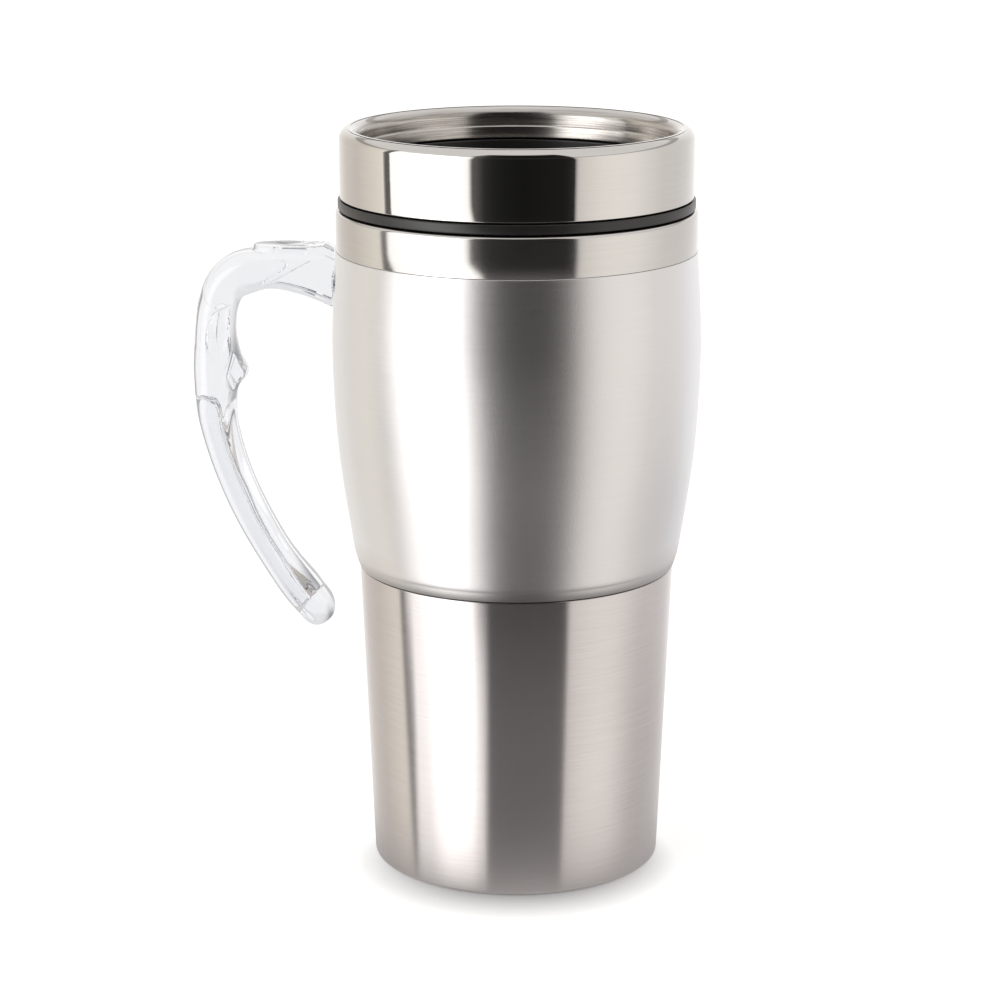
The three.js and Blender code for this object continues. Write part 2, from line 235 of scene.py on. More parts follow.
# ---- material helpers ----
class Shader:
    """A Principled material, with short calls for the few nodes that the patterns need."""

    def __init__(self, name, **constants):
        self.material = bpy.data.materials.new(name)
        self.material.use_nodes = True
        self.tree = self.material.node_tree
        self.principled = self.tree.nodes["Principled BSDF"]
        self.place = self.add("ShaderNodeTexCoord").outputs["Object"]
        for socket, value in constants.items():
            self.principled.inputs[socket.replace("_", " ")].default_value = value

    def add(self, kind, **settings):
        node = self.tree.nodes.new(kind)
        for key, value in settings.items():
            setattr(node, key, value)
        return node

    def plug(self, value, socket):
        if isinstance(value, bpy.types.NodeSocket):
            self.tree.links.new(value, socket)
        else:
            socket.default_value = value

    def math(self, operation, a, b=0.0):
        node = self.add("ShaderNodeMath", operation=operation)
        self.plug(a, node.inputs[0])
        self.plug(b, node.inputs[1])
        return node.outputs[0]

    def weigh(self, a, share_a, b, share_b):
        parts = self.math("MULTIPLY", a, share_a), self.math("MULTIPLY", b, share_b)
        return self.math("ADD", *parts)

    def noise(self, scale, detail=3.0, roughness=0.55):
        """Noise stretched by a scale per axis, in features per metre."""
        mapping = self.add("ShaderNodeMapping")
        mapping.inputs["Scale"].default_value = scale
        self.plug(self.place, mapping.inputs["Vector"])
        node = self.add("ShaderNodeTexNoise")
        node.inputs["Scale"].default_value = 1.0
        node.inputs["Detail"].default_value = detail
        node.inputs["Roughness"].default_value = roughness
        self.plug(mapping.outputs[0], node.inputs["Vector"])
        return node.outputs[0]

    def spread(self, value, low, high, start=0.3, end=0.7):
        """low where the value is start or less, high where it is end or more, a mix between."""
        node = self.add("ShaderNodeMapRange")
        ends = {"From Min": start, "From Max": end, "To Min": low, "To Max": high}
        for socket, number in ends.items():
            node.inputs[socket].default_value = number
        self.plug(value, node.inputs["Value"])
        return node.outputs["Result"]

    def distance_from(self, y0=0.0):
        """Distance from the vertical line through y0 on the Y axis, in metres."""
        x, y, _ = self.split(self.place)
        y = self.math("SUBTRACT", y, y0)
        squares = self.math("ADD", self.math("MULTIPLY", x, x), self.math("MULTIPLY", y, y))
        return self.math("SQRT", squares)

    def split(self, vector):
        node = self.add("ShaderNodeSeparateXYZ")
        self.plug(vector, node.inputs[0])
        return node.outputs

    def blend(self, factor, first, second):
        """One of two colours, or a mix of them. Each is a tuple or comes from another node."""
        node = self.add("ShaderNodeMix", data_type="RGBA")
        self.plug(factor, node.inputs["Factor"])
        for colour, socket in ((first, node.inputs[6]), (second, node.inputs[7])):
            self.plug((*colour, 1) if isinstance(colour, tuple) else colour, socket)
        return node.outputs[2]

    def bump(self, height, distance_mm, below=None):
        """A relief of the given depth, laid over another one below it."""
        node = self.add("ShaderNodeBump")
        node.inputs["Strength"].default_value = 1.0
        node.inputs["Distance"].default_value = distance_mm * MM
        self.plug(height, node.inputs["Height"])
        if below is not None:
            self.plug(below, node.inputs["Normal"])
        return node.outputs[0]

    def set(self, socket, value):
        self.plug(value, self.principled.inputs[socket])


def painted_sheen_and_crease_shade(shader, colour, amount):
    """Painted sheen: the blasted steel is painted paler and cooler at a slant. Painted shade: it is
    painted darker in the bend above the crease.
    """
    # painted sheen: a pale, cool colour laid on where the surface is seen at a slant
    slant = shader.add("ShaderNodeLayerWeight").outputs["Facing"]
    edge = shader.math("MULTIPLY", shader.spread(slant, 0, 1, 0.35, 0.7), amount)
    height = shader.split(shader.place)[2]
    above = shader.spread(height, 0, 1, (CREASE_Z + 1) * MM, (CREASE_Z + 8) * MM)
    colour = shader.blend(shader.math("MULTIPLY", edge, above), colour, (0.95, 0.97, 1.0))
    # painted shade: darker towards the crease, in the bend above it
    painted_crease_shade = shader.spread(height, 0.5, 0.0, CREASE_Z * MM, (CREASE_Z + 3.5) * MM)
    return shader.blend(painted_crease_shade, colour, (0.12, 0.115, 0.11))


def steel(
    name, dark, light, roughness, lines, grain, lines_mm, grain_mm,
    anisotropic=0.0, metallic=1.0, painted_edge_sheen=0.0, rough_inside=0.0,
):
    """Stainless steel: turning lines round Z, a fine grain, and broad faint clouds of tone.
    A pale edge, where asked for, is a painted sheen at a slant, with painted shade above the crease.
    rough_inside dulls the lid's inner wall, lays drawn lines on it and paints it darker and browner as
    painted shade."""
    shader = Shader(name, Metallic=metallic, Anisotropic=anisotropic, Anisotropic_Rotation=0.25)
    if anisotropic:
        tangent = shader.add("ShaderNodeTangent", direction_type="RADIAL", axis="Z")
        shader.set("Tangent", tangent.outputs[0])
    rings = shader.noise((1.5, 1.5, lines), 4.0, 0.7)
    broken = shader.noise((70, 70, lines * 0.7), 3.0, 0.6)
    streak = shader.weigh(rings, 0.55, broken, 0.45)
    fine = shader.noise((grain,) * 3, 2.0)
    cloud = shader.noise((28, 28, 16), 3.0)
    tone = shader.weigh(streak, 0.6, cloud, 0.4)
    colour = shader.blend(shader.spread(tone, 0, 1, 0.35, 0.65), dark, light)
    rough = shader.spread(shader.weigh(streak, 0.6, fine, 0.4), *roughness)
    # painted sheen at a slant, and painted shade above the crease
    if painted_edge_sheen:
        colour = painted_sheen_and_crease_shade(shader, colour, painted_edge_sheen)
    if rough_inside:
        # painted shade: the lid's inner wall is painted darker and browner, over its drawn lines
        inside = shader.spread(shader.distance_from(), 1, 0, 36.6 * MM, 37.4 * MM)
        drawn = shader.spread(streak, 0, 1, 0.42, 0.58)
        drawn_lines_and_painted_shade = shader.blend(drawn, (0.22, 0.195, 0.175), (0.58, 0.55, 0.52))
        colour = shader.blend(shader.math("MULTIPLY", inside, 0.7), colour, drawn_lines_and_painted_shade)
        rough = shader.math("ADD", rough, shader.math("MULTIPLY", inside, rough_inside))
    shader.set("Base Color", colour)
    shader.set("Roughness", rough)
    shader.set("Normal", shader.bump(fine, grain_mm, below=shader.bump(streak, lines_mm)))
    return shader.material


def moulded(name, dark, light, roughness, grain, grain_mm, **constants):
    """Moulded plastic or rubber: a fine skin texture over soft clouds of tone and gloss."""
    shader = Shader(name, **constants)
    fine = shader.noise((grain,) * 3, 3.0)
    cloud = shader.noise((60, 60, 60), 3.0)
    shader.set("Base Color", shader.blend(shader.spread(cloud, 0, 1), dark, light))
    shader.set("Roughness", shader.spread(cloud, *roughness))
    shader.set("Normal", shader.bump(fine, grain_mm))
    return shader.material


def clear_plastic():
    """Clear acrylic with a faint cool tint, faint handling marks and a trace of moulding flow.
    A faint painted glow stands in for light caught inside it, and the steel's mirror images leave it
    out."""
    shader = Shader("clear_plastic", Transmission_Weight=1.0, IOR=1.49)
    cloud = shader.noise((90, 90, 90), 3.0)
    marks = shader.noise((900, 900, 140), 4.0, 0.7)
    tint = shader.blend(shader.spread(cloud, 0, 1), (0.965, 0.968, 0.982), (0.99, 0.992, 1.0))
    shader.set("Base Color", tint)
    shader.set("Roughness", shader.spread(marks, 0.0, 0.02, 0.5, 0.75))
    shader.set("Normal", shader.bump(cloud, 0.05))
    path = shader.add("ShaderNodeLightPath").outputs
    # painted glow: emission on rays that have bounced many times inside the plastic
    painted_glow_mask = shader.math("GREATER_THAN", path["Glossy Depth"], 3.5)
    shader.principled.inputs["Emission Color"].default_value = (0.98, 0.985, 1.0, 1)
    shader.set("Emission Strength", shader.math("MULTIPLY", painted_glow_mask, 0.5))
    outside = shader.math("LESS_THAN", path["Transmission Depth"], 0.5)
    mirrored = shader.math("MULTIPLY", path["Is Glossy Ray"], outside)
    either = shader.add("ShaderNodeMixShader")
    shader.plug(mirrored, either.inputs[0])
    shader.plug(shader.principled.outputs[0], either.inputs[1])
    shader.plug(shader.add("ShaderNodeBsdfTransparent").outputs[0], either.inputs[2])
    shader.plug(either.outputs[0], shader.tree.nodes["Material Output"].inputs["Surface"])
    return shader.material


MATERIALS = {
    "brushed_steel": steel(
        "brushed_steel", (0.575, 0.54, 0.53), (0.675, 0.64, 0.635), (0.15, 0.21),
        lines=4200, grain=2500, lines_mm=0.005, grain_mm=0.0015, anisotropic=0.9, metallic=0.95,
    ),
    # barrel steel, with a painted sheen at a slant and painted shade above the crease
    "satin_steel": steel(
        "satin_steel", (0.70, 0.68, 0.675), (0.74, 0.72, 0.715), (0.27, 0.33),
        lines=1500, grain=3600, lines_mm=0.0005, grain_mm=0.028, metallic=0.96, painted_edge_sheen=0.75,
    ),
    # lid ring steel, with painted shade on its inner wall
    "polished_steel": steel(
        "polished_steel", (0.62, 0.60, 0.58), (0.67, 0.65, 0.63), (0.03, 0.07),
        lines=2600, grain=1500, lines_mm=0.0002, grain_mm=0.0003, rough_inside=0.15,
    ),
    "collar_steel": steel(
        "collar_steel", (0.61, 0.59, 0.57), (0.67, 0.65, 0.63), (0.09, 0.14),
        lines=2600, grain=1500, lines_mm=0.0003, grain_mm=0.0003, metallic=0.98,
    ),
    "inner_steel": steel(
        "inner_steel", (0.50, 0.495, 0.49), (0.60, 0.595, 0.59), (0.2, 0.34),
        lines=3000, grain=2200, lines_mm=0.004, grain_mm=0.003, anisotropic=0.5,
    ),
    "black_plastic": moulded(
        "black_plastic", (0.006, 0.0055, 0.0055), (0.012, 0.011, 0.0105), (0.26, 0.38), 2600, 0.015,
        IOR=1.55,
    ),
    "black_rubber": moulded(
        "black_rubber", (0.014, 0.014, 0.014), (0.028, 0.028, 0.027), (0.65, 0.85), 1800, 0.06
    ),
    "silicone": moulded(
        "silicone", (0.022, 0.022, 0.022), (0.04, 0.04, 0.04), (0.45, 0.6), 2200, 0.02
    ),
    "foam": moulded("foam", (0.62, 0.62, 0.60), (0.78, 0.78, 0.76), (0.85, 0.95), 900, 0.25),
    "clear_plastic": clear_plastic(),
}

# ---- mug body ----
BARREL = [  # outside of the barrel: radius and height
    (37.15, CREASE_Z), (37.85, 73.8), (38.8, 78.3),
    (41.85, 100), (BARREL_R, 124), (41.95, BARREL_TOP_Z),
]
barrel_line = catmull_rom(BARREL, 101)
FOOT_R = 34.0
FOOT_LIP_R = 32.0  # where the cone's foot is turned in to
SPIGOT_R = 36.2
MOUTH_R = 37.8  # inside of the liner where the lid plugs in
SCREW_Y = 3.8
SCREW_Z = 139.5
SCREW_HOLE_R = 1.8
SCREW_TIP_X = box_mm("handle_screw_front")[0].x
BOSS_R = 2.8  # two bosses on the handle reach through the barrel wall round the screws
BOSS_END_X = -40.05


def barrel_radius(z):
    """Outer radius of the barrel at a height."""
    return float(np.interp(z, barrel_line[:, 1], barrel_line[:, 0]))


def rod_x(name, r, x0, x1, y, z, sides=48):
    """A plain rod along X, used as a cutter."""
    return turn_to_x(lathe(name, [(0, x0), (r, x0), (r, x1), (0, x1)], sides), y, z)


def screw_cutters(r, x0=-50, x1=-30):
    """Two rods round the lines of the two screws."""
    return [rod_x("cutter", r, x0, x1, y, SCREW_Z) for y in (-SCREW_Y, SCREW_Y)]


def make_base_shell():
    """Lower cone, turned in at the foot, with a spigot at the top that enters the barrel."""
    joggle_z = CREASE_Z - 0.12
    profile = arc_corners([
        (FOOT_LIP_R, STEEL_FOOT_Z, 0.2),
        (FOOT_R, STEEL_FOOT_Z, 0.6),
        (CONE_TOP_R, joggle_z, 0.25),
        (SPIGOT_R, joggle_z, 0.2),
        (SPIGOT_R, SPIGOT_TOP_Z, 0.15),
        (SPIGOT_R - SHEET, SPIGOT_TOP_Z, 0.15),
        (SPIGOT_R - SHEET, joggle_z - SHEET, 0.3),
        (CONE_TOP_R - SHEET, joggle_z - SHEET, 0.2),
        (FOOT_R - SHEET, STEEL_FOOT_Z + SHEET, 0.5),
        (FOOT_LIP_R, STEEL_FOOT_Z + SHEET, 0.2),
    ])
    place(lathe("base_shell_fine", profile), "mug", "brushed_steel", "base_shell")


def make_barrel_shell():
    """Swollen upper shell: rolled under at the crease, with two holes for the handle's bosses."""
    outside = [tuple(p) for p in barrel_line]
    inside = [(r - SHEET, z) for r, z in outside[::-1]]
    foot_r, foot_z = outside[0]
    top_r = outside[-1][0]
    rolled = [(foot_r - 0.45, foot_z), (foot_r - 0.2, foot_z + 0.07), (foot_r - 0.02, foot_z + 0.32)]
    rim = [(top_r, COLLAR_Z - 0.1), (top_r - 0.08, COLLAR_Z - 0.02)]
    shell = lathe("barrel_shell_fine", rolled + outside[3:] + rim + inside)
    boolean(shell, screw_cutters(BOSS_R + GAP), "DIFFERENCE")
    place(shell, "mug", "satin_steel", "barrel_shell")


def make_collar_ring():
    """Polished collar: a skirt inside the barrel, a slightly swollen band, a rim turned in."""
    skirt = 40.85
    skirt_z = 144.8
    wall = COLLAR_R - SHEET
    rim_r = 39.2
    profile = arc_corners([
        (skirt - SHEET, skirt_z, 0.15),
        (skirt, skirt_z, 0.15),
        (skirt, COLLAR_Z, 0.15),
        (COLLAR_R - 0.04, COLLAR_Z, 0.15),
        (COLLAR_R, (COLLAR_Z + RIM_Z) / 2, 60),
        (COLLAR_R - 0.06, RIM_Z, 0.85),
        (rim_r, RIM_Z, 0.2),
        (rim_r, RIM_Z - SHEET, 0.2),
        (wall, RIM_Z - SHEET, 0.3),
        (wall, COLLAR_Z + SHEET, 0.2),
        (skirt - SHEET, COLLAR_Z + SHEET, 0.2),
    ])
    ring = lathe("collar_ring_fine", profile)
    place(ring, "mug", "polished_steel", "collar_ring", "collar_steel")


def make_liner_cup():
    """Inner cup of one sheet, wider at the mouth for the lid's plug, with a lip rolled outwards."""
    bottom = box_mm("liner_cup")[0].z
    profile = arc_corners([
        (0, bottom),
        (29.8, bottom, 5),
        (33.6, 71, 60),
        (36.2, 112, 60),
        (36.2, 143.4, 3),
        (MOUTH_R + SHEET, 147.3, 1.5),
        (MOUTH_R + SHEET, RIM_Z - SHEET, 0.1),
        (38.9, RIM_Z - SHEET, 0.1),
        (38.9, RIM_Z, 0.3),
        (MOUTH_R, RIM_Z, 0.4),
        (MOUTH_R, 147.6, 2.1),
        (36.2 - SHEET, 143.7, 2.4),
        (36.2 - SHEET, 112, 59.4),
        (33.6 - SHEET, 71, 59.4),
        (29.8 - SHEET, bottom + SHEET, 4.4),
        (0, bottom + SHEET),
    ], 8)
    place(lathe("liner_cup_fine", profile), "mug", "inner_steel", "liner_cup")


def band(r0, r1, z0, z1, fillet):
    """Section of a plain ring."""
    return [(r0, z0, fillet), (r1, z0, fillet), (r1, z1, fillet), (r0, z1, fillet)]


def make_small_rings():
    """Turned pieces with a plain section: seals, spacer, pads and the bottom cover."""
    soft = 0.15
    spacer_z = box_mm("rim_spacer")[1].z
    sections = {
        "joint_seal": ("silicone", band(36.5, 37.05, 76, 79.6, soft)),
        "rim_spacer": ("black_plastic", band(38.95, 40.7, 148.5, spacer_z, soft)),
        "liner_pad": ("foam", [(0, 2.6), (20, 2.6, 0.6), (20, 5.6, 0.6), (0, 5.6)]),
        "base_disc": (
            "brushed_steel",
            [(0, 1.5), (32.7, 1.5, 0.6), (32.7, 8, soft), (31.9, 8, soft), (31.9, 2.3, 0.3), (0, 2.3)],
        ),
        "base_pad": (
            "black_rubber",
            [
                (0, 0.25), (8, 0.25, 0.1), (8.4, 0.0, 0.1), (29.0, 0.0, 0.1), (29.3, 0.3, 0.1),
                (30.2, 0.3, 0.1), (30.5, 0.0, 0.1), (31.2, 0.0, 0.3), (31.2, 1.2, 0.2), (0, 1.2),
            ],
        ),
    }
    for node, (slot, corners) in sections.items():
        place(lathe(node + "_fine", arc_corners(corners, 3)), "mug", slot, node)


# ---- handle ----
HANDLE_OUTSIDE = [
    (-36, 146.5), (-47, 146.6), (-57, 146.6), (-65.3, 145.6), (-71, 141.5),
    (-74.0, 134.5), (-75.2, 124), (-75.37, 115), (-74.2, 105.8), (-70.8, 94), (-65.5, 81.5),
    (-57.0, 66.7), (-51.6, 59.6),
]
HANDLE_TIP = [(-48.4, 56.7), (-44.4, 56.7), (-42.9, 60.6)]
HANDLE_INSIDE = [
    (-46.7, 66.9), (-54.2, 76.6), (-61.5, 91.2), (-65.1, 103.4), (-65.5, 111), (-64.7, 114.6),
    (-63.1, 116.6), (-62.6, 118.2), (-63.6, 120.2), (-64.8, 123.2), (-65.4, 128), (-64.6, 133.2),
    (-62.6, 136.0), (-57.0, 137.9), (-50, 136.6), (-43, 133.8), (-36, 131.0),
]
HANDLE_MIDDLE = [
    (-38, 139.3), (-43, 140.3), (-50, 141.7), (-57, 142.2), (-63.5, 140.8), (-68.0, 137.2),
    (-69.9, 131.5), (-70.4, 124), (-70.5, 116), (-69.9, 108), (-68.2, 100), (-65.0, 91),
    (-60.0, 79.6), (-53.3, 68.6), (-48.0, 61.2),
]
POCKET_TOP_Z = 112.8  # long pocket in the handle's outer side, open outwards
POCKET_FOOT_Z = 61.5
POCKET_END_R = 5.0
ROOT_Z = (133.7, 146.6)  # lowest and highest edge where the arm meets the barrel
NECK_X = -44.2  # from here the arm's sections run on to its root
IN_THE_LOOP = (-50, 105)  # a point in the opening, which tells the inner side from the outer
HOLLOW = (-69.2, 127.6)  # middle of the oval finger hollow on each cheek
HOLLOW_HALF = (3.0, 6.4)
HOLLOW_LEAN = math.radians(12)
RIDGE_APEX = (-68.4, 117.0)  # where the finger ridge starts on the handle's cheek


def step(low, high, x):
    """Smooth step from 0 at low to 1 at high."""
    t = np.clip((x - low) / (high - low), 0, 1)
    return t * t * (3 - 2 * t)


def ray_to_outline(outline, origin, direction):
    """Distance from origin along direction to the outline, a closed polyline."""
    a = outline
    b = np.roll(outline, -1, axis=0)
    edge = b - a
    cross = direction[0] * edge[:, 1] - direction[1] * edge[:, 0]
    cross[np.abs(cross) < 1e-9] = 1e-9
    gap = a - origin
    along = (gap[:, 0] * edge[:, 1] - gap[:, 1] * edge[:, 0]) / cross
    share = (gap[:, 0] * direction[1] - gap[:, 1] * direction[0]) / cross
    hits = along[(share >= 0) & (share <= 1) & (along > 0)]
    return hits.min()


def ring_angles():
    """Angles round a cross-section, with extra ones for the pocket's walls and grooves."""
    even = np.linspace(0, 2 * math.pi, 144, endpoint=False)
    wall = np.arctan2(1, np.linspace(0.36, 0.66, 17))
    return np.unique(np.round(np.concatenate([even, wall, math.pi - wall]), 5))


def round_section(angles, a_out, a_in, width, n_out, n_in):
    """A superellipse with its own size and squareness on the outer and the inner side: y and u."""
    c, s = np.cos(angles), np.sin(angles)
    n = np.where(s > 0, n_out, n_in)
    size = (np.abs(c) ** n + np.abs(s) ** n) ** (1 / n)
    return width * c / size, np.where(s > 0, a_out, a_in) * s / size


def pocket_depth(z, across, a_out):
    """Depth of the outer pocket at height z and at a share across of the half width.
    It has steep walls, and a small groove along each side of its floor."""
    lower = 1 - step(0.5, 0.58, across)
    groove = 0.7 * np.exp(-(((across - 0.4) / 0.07) ** 2))
    into_end = np.clip((z - (POCKET_TOP_Z - POCKET_END_R)) / POCKET_END_R, 0, 1)
    rounded = np.sqrt(1 - into_end**2)
    foot = step(POCKET_FOOT_Z, POCKET_FOOT_Z + 1.5, z)
    return lower * rounded * foot * (a_out + groove)


def thumb_rest(x, y):
    """Height added on top of the arm: a low dished pad with a crisp rim."""
    middle_x, half_x, half_y, power = -51.2, 10.3, 5.6, 2.6
    reach = np.abs((x - middle_x) / half_x) ** power + np.abs(y / half_y) ** power
    reach = reach ** (1 / power)
    return 1.25 * (1 - step(0.93, 0.985, reach)) - 0.75 * (1 - step(0.1, 0.86, reach))


def cheek_cut(x, z):
    """How far the handle's cheeks are cut back: an oval finger hollow, a step and a finger ridge."""
    dx, dz = x - HOLLOW[0], z - HOLLOW[1]
    a = dx * math.cos(HOLLOW_LEAN) - dz * math.sin(HOLLOW_LEAN)
    b = dx * math.sin(HOLLOW_LEAN) + dz * math.cos(HOLLOW_LEAN)
    oval = (a / HOLLOW_HALF[0]) ** 2 + (b / HOLLOW_HALF[1]) ** 2
    cut = np.clip(1 - oval, 0, 1)
    above_step = (z - 133.9) - 0.55 * (x + 67.4)
    below_arm = step(0.25, -0.25, above_step) * step(-71.5, -68.5, x) * step(104, 118, z)
    cut = np.maximum(cut, 0.75 * below_arm + cut * 0.6)
    ax, az = RIDGE_APEX
    right_of_ridge = np.minimum((x - ax) - 0.33 * (z - az), (x - ax) + 0.62 * (z - az))
    fin = step(0, 0.5, right_of_ridge) * step(103, 108, z) * step(127, 122.5, z)
    return cut + 1.4 * fin * step(0, 3.0, right_of_ridge + 1.4)


def handle_station(here, along, outline, angles):
    """One cross-section of the handle, as points in space. It is flatter in the arm, and
    narrower and squarer outside in the lower part."""
    outward = np.array([along[1], -along[0]])
    if outward @ (here - np.array(IN_THE_LOOP)) < 0:
        outward = -outward
    x, z = here
    a_out = ray_to_outline(outline, here, outward)
    a_in = ray_to_outline(outline, here, -outward)
    arm = step(-67, -61, x) * step(125, 132, z)
    lower = step(116, 106, z)
    width = HANDLE_HALF_WIDTH - 0.35 * (1 - arm) - 0.65 * lower
    n_out = 2.5 + 1.0 * arm + 2.0 * lower
    n_in = 3.0 + 3.5 * arm
    y, u = round_section(angles, a_out, a_in, width, n_out, n_in)
    outer = u > 0.02 * a_out
    u = u - np.where(outer, pocket_depth(z, np.abs(y) / width, a_out), 0)
    px, pz = x + outward[0] * u, z + outward[1] * u
    limit = width - cheek_cut(px, pz)
    y = np.clip(y, -limit, limit)
    pz = pz + np.where(outer, arm * thumb_rest(px, y) * step(143.5, 145.5, pz), 0)
    return np.stack([px, y, pz], axis=1)


def make_handle():
    """The clear handle: cross-sections swept along its middle line, and two bosses at the root."""
    outline = catmull_rom(HANDLE_OUTSIDE + HANDLE_TIP + HANDLE_INSIDE, 1200)
    stations = catmull_rom(HANDLE_MIDDLE, 360)
    tangent = np.gradient(stations, axis=0)
    tangent /= np.linalg.norm(tangent, axis=1)[:, None]
    angles = ring_angles()
    rings = [handle_station(h, t, outline, angles) for h, t in zip(stations, tangent)]
    rings = end_on_saddle(rings)
    rings += rounded_tip(rings[-1], stations[-1], tangent[-1])
    handle = mesh_from_rings("handle_fine", rings)
    foot_x, end_x, bevel = -44, BOSS_END_X, 0.25
    boss = [(0, foot_x), (BOSS_R, foot_x), (BOSS_R, end_x - bevel), (BOSS_R - bevel, end_x), (0, end_x)]
    bosses = [turn_to_x(lathe("tool", boss, 64), y, SCREW_Z) for y in (-SCREW_Y, SCREW_Y)]
    boolean(handle, bosses, "UNION")
    boolean(handle, screw_cutters(SCREW_HOLE_R, SCREW_TIP_X - GAP, -38), "DIFFERENCE")
    place(handle, "mug", "clear_plastic", "handle")


def saddle_x(y, z):
    """X of the barrel's surface, with the clearance, at a place on the handle's root."""
    return -math.sqrt((barrel_radius(z) + GAP) ** 2 - y**2)


def end_on_saddle(rings):
    """Drops the rings inside the barrel and ends the bar on a face that follows the barrel."""
    kept = [r for r in rings if r[:, 0].max() < NECK_X]
    first = kept[0]
    low, high = first[:, 2].min(), first[:, 2].max()
    root = first.copy()
    root[:, 2] = ROOT_Z[0] + (first[:, 2] - low) * (ROOT_Z[1] - ROOT_Z[0]) / (high - low)
    middle_z = root[:, 2].mean()
    face = []
    for shrink in (0.0, 0.25, 0.5, 0.75, 0.93, 1.0):
        ring = root.copy()
        ring[:, 1] *= shrink
        ring[:, 2] = middle_z + (ring[:, 2] - middle_z) * shrink
        ring[:, 0] = [saddle_x(y, z) for y, z in ring[:, 1:]]
        face.append(ring)
    neck = [first + (face[-1] - first) * share for share in (0.97, 0.75, 0.5, 0.25)]
    return face + neck + kept


def rounded_tip(last, end, along):
    """Rings that round the free end over."""
    centre = np.array([end[0], 0, end[1]])
    forward = np.array([along[0], 0, along[1]])
    reach, power = 5.2, 2.2
    rings = []
    for t in np.sin(np.linspace(0.08, math.pi / 2, 16)):
        shrink = (1 - t**power) ** (1 / power)
        rings.append(centre + (last - centre) * shrink + forward * reach * t)
    return rings


def mesh_from_rings(name, rings):
    """A skin over rings of points. Its first and last ring close it by shrinking to nothing."""
    count = len(rings[0])
    vertices = [tuple(p) for ring in rings for p in ring]
    faces = []
    for i in range(len(rings) - 1):
        for k in range(count):
            a, b = i * count + k, i * count + (k + 1) % count
            faces.append((a, b, b + count, a + count))
    return mesh_object(name, vertices, faces, 40)


def make_handle_fixings():
    make_backing_plate()
    for end, y in (("front", -SCREW_Y), ("rear", SCREW_Y)):
        make_washer(end, y)
        make_screw(end, y)


def make_backing_plate():
    """Curved plate inside the barrel wall, with two holes for the screws."""
    inner, outer, spread, low, high = 39.15, 39.75, 0.27, 134, 144.4
    turns = list(np.linspace(math.pi - spread, math.pi + spread, 25))
    outline = [(outer * math.cos(t), outer * math.sin(t)) for t in turns]
    outline += [(inner * math.cos(t), inner * math.sin(t)) for t in turns[::-1]]
    plate = slab("handle_backing_plate_fine", outline, low, high, 0.25)
    boolean(plate, screw_cutters(SCREW_HOLE_R), "DIFFERENCE")
    place(plate, "mug", "inner_steel", "handle_backing_plate")


def make_washer(end, y):
    hole, edge, x0, x1 = SCREW_HOLE_R, 3.5, -38.15, -37.75
    washer = arc_corners([(hole, x0, 0.08), (edge, x0, 0.12), (edge, x1, 0.12), (hole, x1, 0.08)], 3)
    ring = turn_to_x(lathe(f"handle_washer_{end}_fine", washer, 64), y, SCREW_Z)
    place(ring, "mug", "inner_steel", f"handle_washer_{end}")


def make_screw(end, y):
    """Flat-head screw along X: threaded shank to the left, slotted head to the right."""
    tip, head, pitch = SCREW_TIP_X, -37.45, 0.6
    top = head + 0.9
    head_r, shank_r = 2.9, 1.45
    threads = []
    x = tip + 0.5
    while x < head - 0.8:
        threads += [(1.24, x), (1.5, x + 0.24), (1.5, x + 0.3)]
        x += pitch
    profile = [(0, tip), (1.0, tip), *threads, (shank_r, head - 0.4), (shank_r, head), (head_r, head)]
    profile += arc_corners([(head_r, head), (head_r, top, 0.5), (0, top)], 6)[1:]
    screw = turn_to_x(lathe(f"handle_screw_{end}_fine", profile, 64, 30), y, SCREW_Z)
    outline = rounded_rectangle(top - 0.45, top + 1, y - 0.45, y + 0.45, 0.05, 2)
    slot = slab("cutter", outline, SCREW_Z - 4, SCREW_Z + 4, 0)
    boolean(screw, [slot], "DIFFERENCE")
    place(screw, "mug", "inner_steel", f"handle_screw_{end}")


# ---- lid ----
DRINK_Y = -25.5
DRINK_HALF = (6.5, 3.5)
VENT_Y = 24
VENT_R = 1.3
TUBE_WALL = 1.5  # wall round the drink hole and the vent, down through the lid
TUBE_FOOT_Z = box_mm("lid_body")[0].z
SLIDER_TOP = 3.1  # from the runners' underside to the top of the slider's plate


def make_lid_ring():
    """Polished cover of the lid: straight outside, rolled lip, sloping inner wall with a small step."""
    foot = BAND_TOP_Z + GAP
    mouth = 36.3  # inside of the lip
    step_z = 170.2
    foot_in = 167.5
    profile = arc_corners([
        (LID_R - SHEET, foot, 0.1),
        (LID_R - 0.05, foot, 0.25),
        (LID_R, 166.5, 40),
        (LID_R, LID_TOP_Z, 2.6),
        (mouth, LID_TOP_Z, 3.0),
        (mouth - 0.45, step_z + 0.25, 0.3),
        (mouth - 0.75, step_z, 0.2),
        (mouth - 1.2, foot_in, 0.25),
        (mouth - 0.6, foot_in, 0.1),
        (mouth - 0.15, step_z, 0.2),
        (mouth + 0.15, step_z + 0.3, 0.3),
        (mouth + SHEET, LID_TOP_Z - SHEET, 2.4),
        (LID_R - SHEET, LID_TOP_Z - SHEET, 2.0),
    ], 12)
    place(lathe("lid_steel_ring_fine", profile, 256), "lid", "polished_steel", "lid_steel_ring")


def stadium(half_x, half_y, y, grow=0.0):
    """A long rounded hole's outline, grown all round."""
    hx, hy = half_x + grow, half_y + grow
    return rounded_rectangle(-hx, hx, y - hy, y + hy, hy - 1e-3, 10)


def tubes(grow, z0, z1):
    """Upright rods as wide as the drink hole and the vent, grown all round."""
    return [
        slab("tool", stadium(*DRINK_HALF, DRINK_Y, grow), z0, z1, 0),
        slab("tool", stadium(VENT_R, VENT_R, VENT_Y, grow), z0, z1, 0),
    ]


